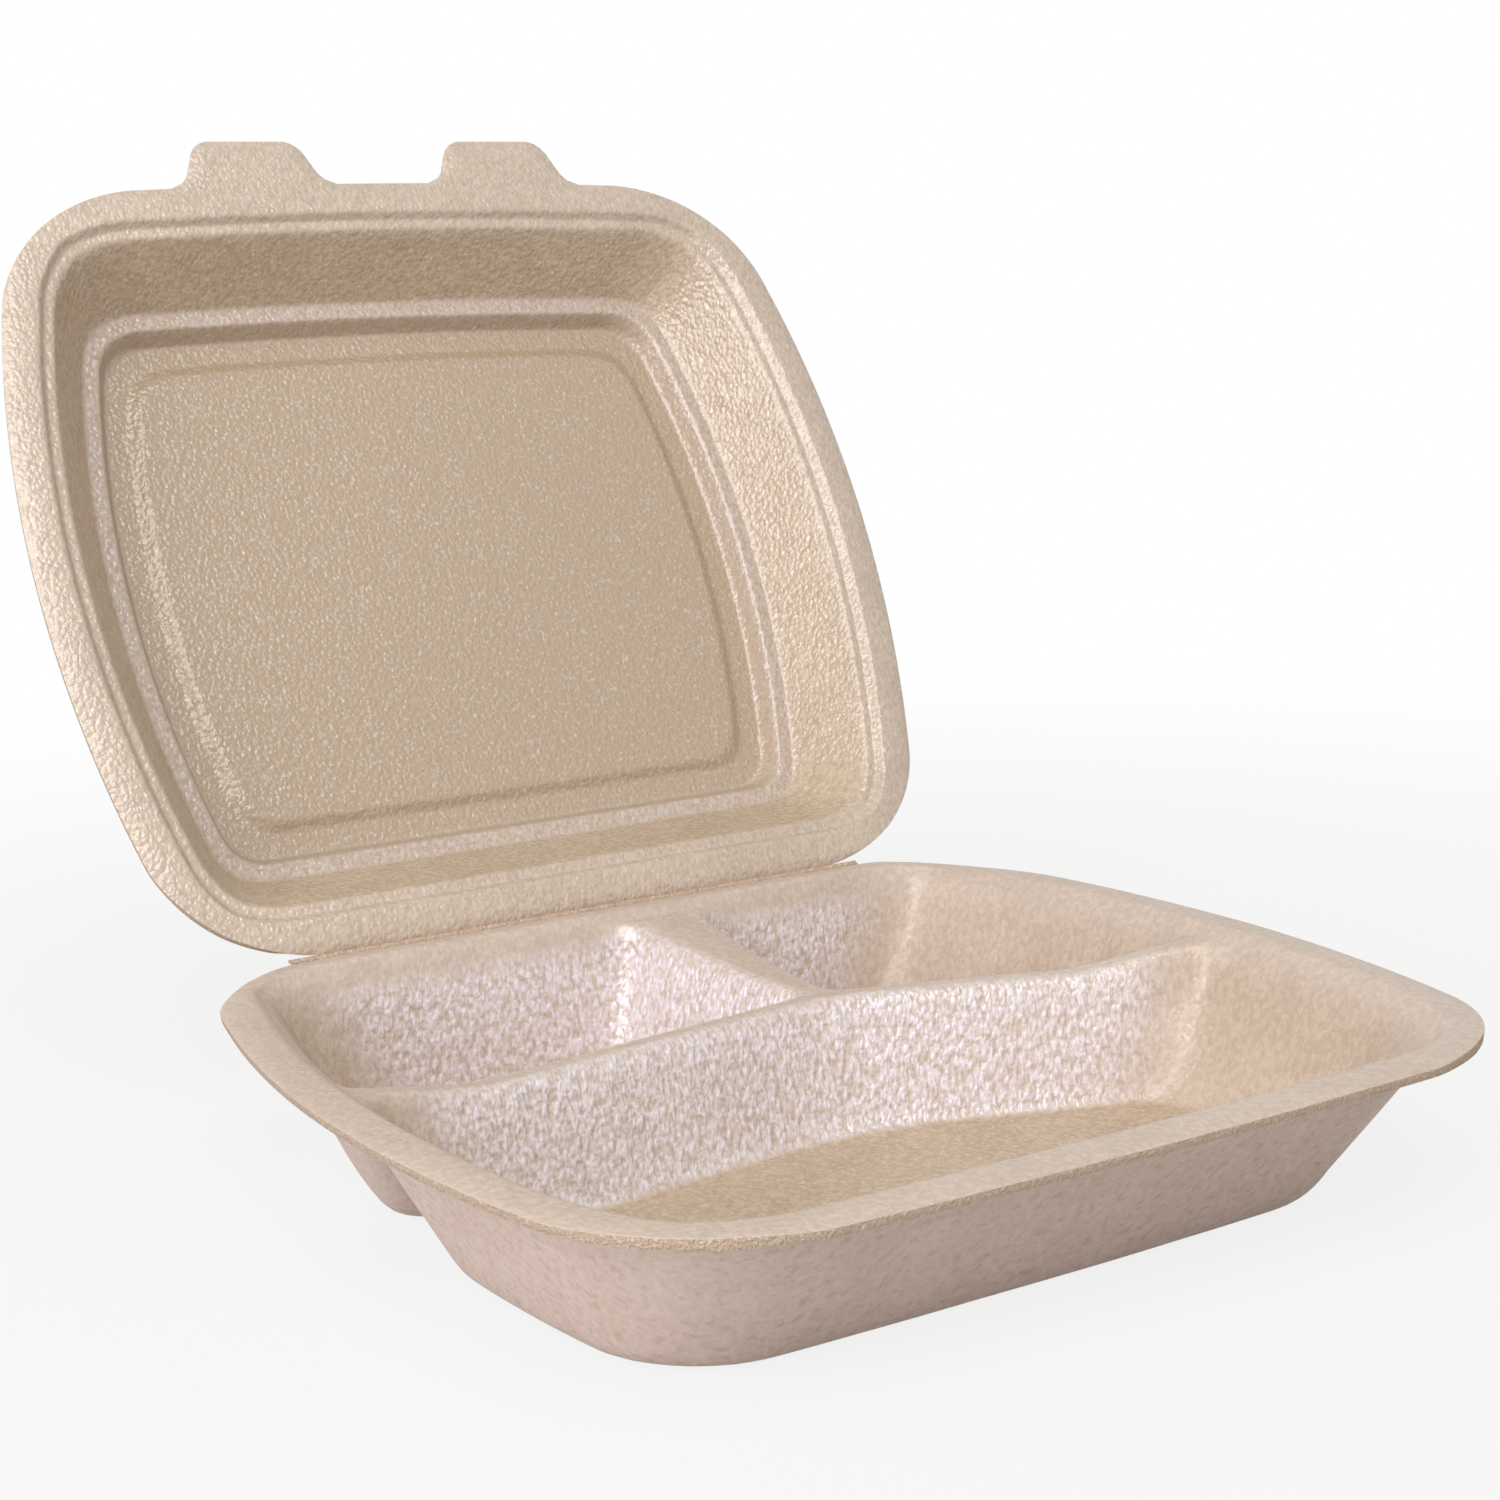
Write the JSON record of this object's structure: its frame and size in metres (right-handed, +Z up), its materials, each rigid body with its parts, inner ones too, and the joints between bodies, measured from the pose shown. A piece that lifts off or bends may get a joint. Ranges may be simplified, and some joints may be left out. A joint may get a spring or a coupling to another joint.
{
  "type": "foam clamshell container",
  "caption": "Hinged take-away food box of beige foam sheet, standing open: a divided tray with bowed sides and a stepped lid with closing tabs, joined along a pressed crease.",
  "frame": {"origin": "on the flat underside of the front compartment, below the middle of the base's rim", "axes": "+Z up, X along the hinge crease, +Y from the front edge towards the hinge"},
  "size_m": [0.2406, 0.3208, 0.2335],
  "materials": {
    "foam": "beige thermoformed foam sheet with a fine cell grain, a pearly skin on the inside and rough cut edges"
  },
  "bodies": {
    "base": {"base_tray": "foam"},
    "lid": {"lid": "foam"}
  },
  "joints": [
    {"name": "lid_hinge", "type": "hinge", "parent": "base", "child": "lid", "pos_m": [0, 0.1043, 0.04015], "axis": [-1, 0, 0], "range_deg": [-119.2, 60.8]}
  ]
}
